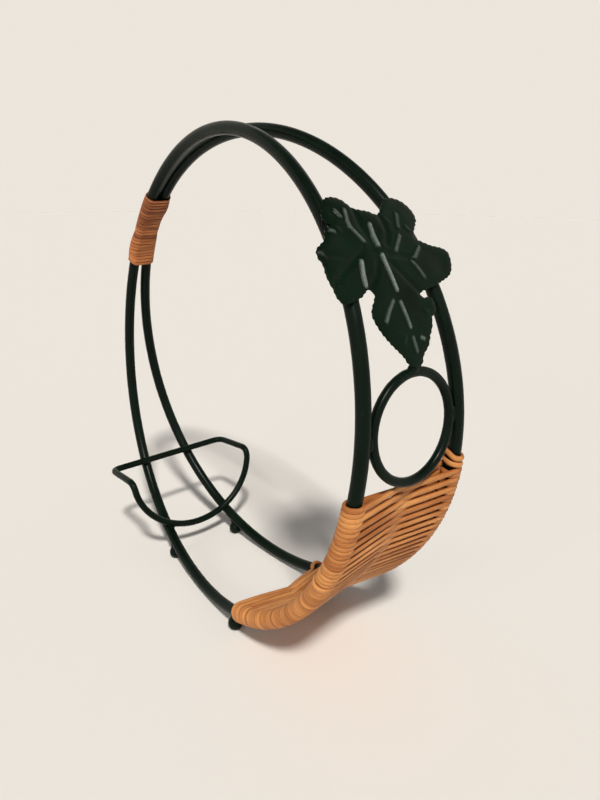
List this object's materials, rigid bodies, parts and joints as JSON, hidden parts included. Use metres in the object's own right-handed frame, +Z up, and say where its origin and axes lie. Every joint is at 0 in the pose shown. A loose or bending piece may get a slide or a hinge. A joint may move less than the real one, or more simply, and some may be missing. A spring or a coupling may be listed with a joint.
{
  "type": "bottle holder",
  "caption": "Round wire bottle holder with a cane-wound cradle, neck ring, rear stop, vine leaf and cane grip.",
  "frame": {"origin": "middle of the outline in plan, on the table under the feet", "axes": "+X towards the neck ring and pouring end, +Y to the holder's left, +Z up"},
  "size_m": [0.2478, 0.0858, 0.2506],
  "materials": {
    "green_paint": "dark green satin paint on steel rod and wire",
    "leaf_paint": "dark green satin paint on pressed sheet, veins rubbed lighter",
    "cradle_cane": "flat oval rattan cane, orange tan, low sheen",
    "grip_cane": "narrow flat oval rattan cane, pale honey, low sheen"
  },
  "bodies": {
    "root": {"hoop_right": "green_paint", "hoop_left": "green_paint", "neck_ring": "green_paint", "rear_support": "green_paint", "vine_leaf": "leaf_paint", "foot_rear_right": "green_paint", "foot_front_right": "green_paint", "foot_rear_left": "green_paint", "foot_front_left": "green_paint", "cradle_winding": "cradle_cane", "grip_winding": "grip_cane"}
  },
  "joints": []
}
